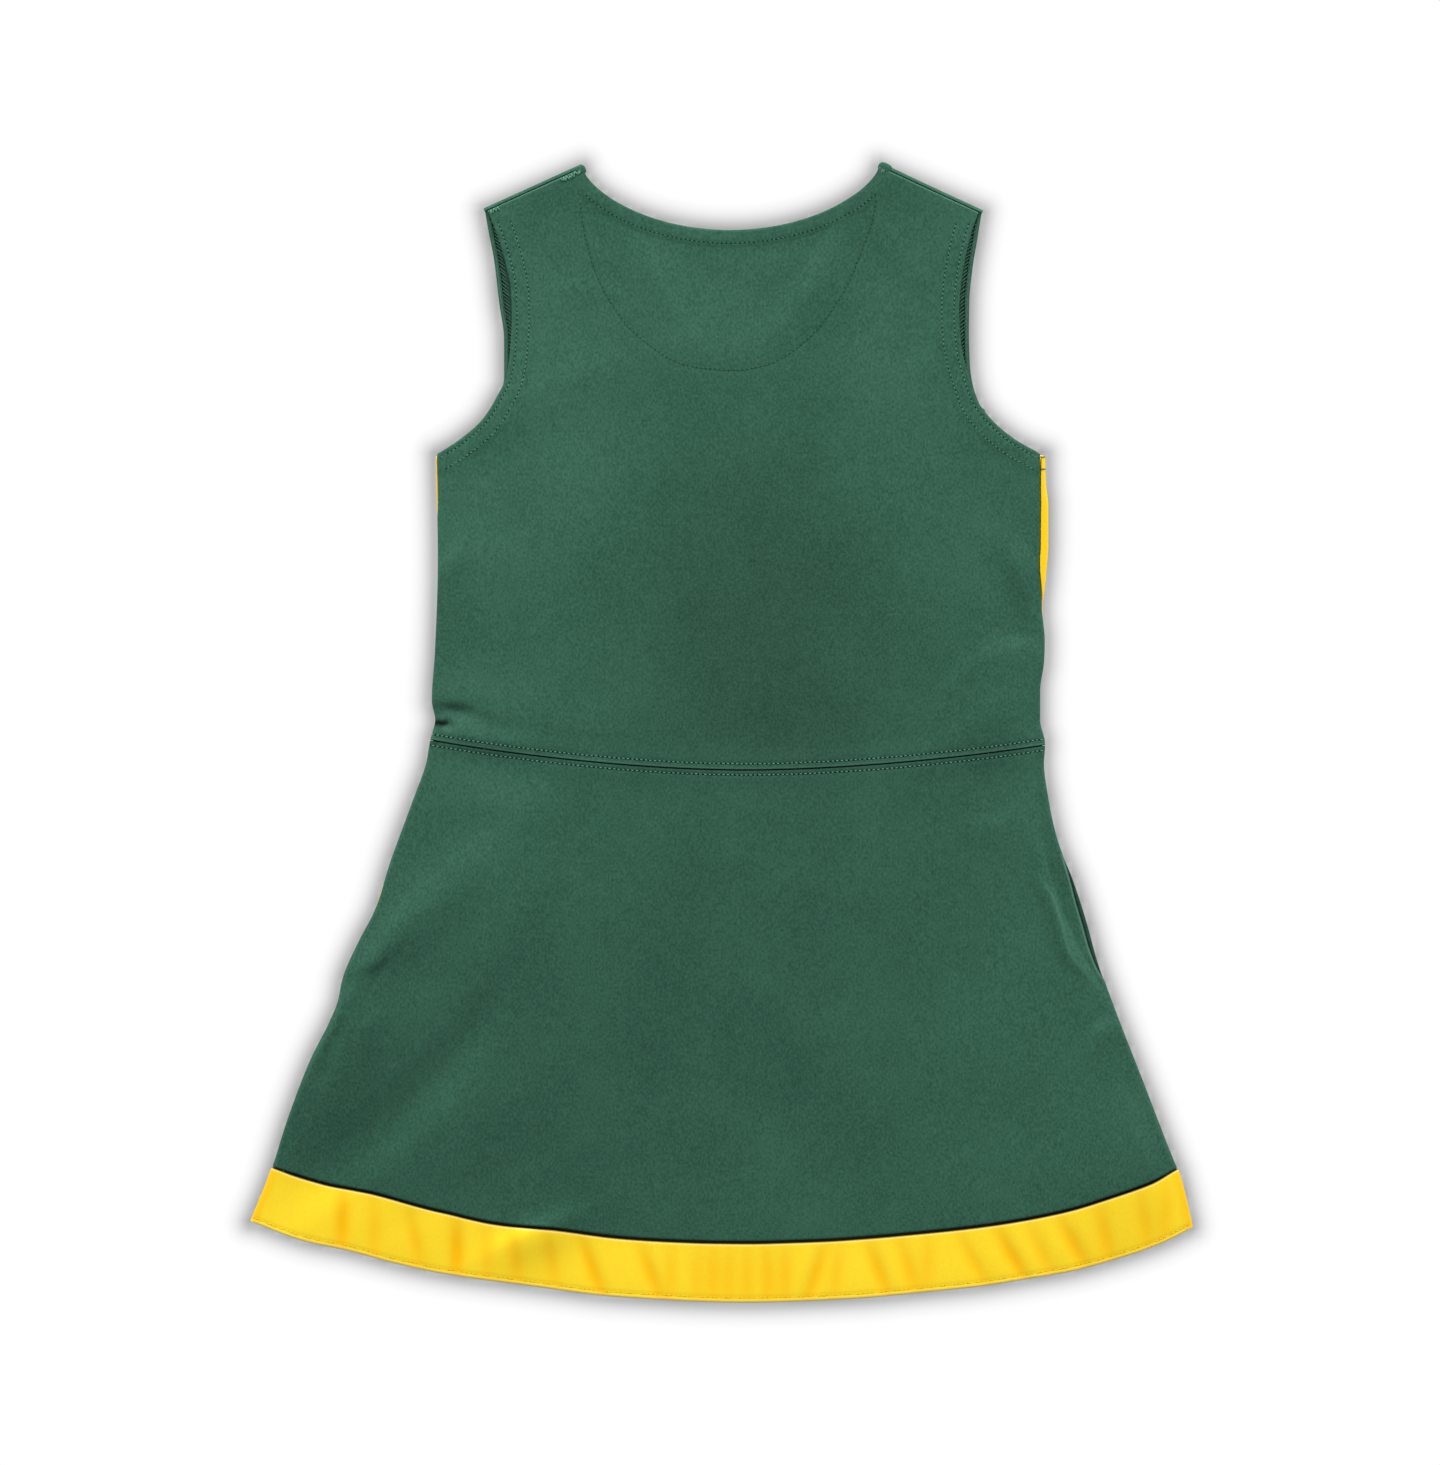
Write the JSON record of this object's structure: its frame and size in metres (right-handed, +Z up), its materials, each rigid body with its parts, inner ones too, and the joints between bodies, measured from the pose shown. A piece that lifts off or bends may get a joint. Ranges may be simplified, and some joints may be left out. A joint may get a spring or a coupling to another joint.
{
  "type": "cheerleader dress",
  "caption": "Girl's sleeveless cheerleader dress in knit, laid flat on its front with the back up: scoop neck, bodice, flared skirt, contrast side panels and hem band.",
  "frame": {"origin": "on the surface the dress lies on, below the middle of its bounding box", "axes": "+Z up from the surface, +Y from the hem to the shoulders, +X to the right of the laid-out back, which is the wearer's right"},
  "size_m": [0.4701, 0.5692, 0.006],
  "materials": {
    "green_knit": "smooth dark green polyester warp knit with a soft sheen",
    "gold_knit": "smooth golden yellow polyester warp knit with a soft sheen"
  },
  "bodies": {
    "root": {"back_bodice": "green_knit", "back_skirt": "green_knit", "back_hem_band": "gold_knit", "front_bodice": "green_knit", "front_skirt": "green_knit", "front_hem_band": "gold_knit", "left_bodice_side": "gold_knit", "left_skirt_side": "gold_knit", "right_bodice_side": "gold_knit", "right_skirt_side": "gold_knit"}
  },
  "joints": []
}
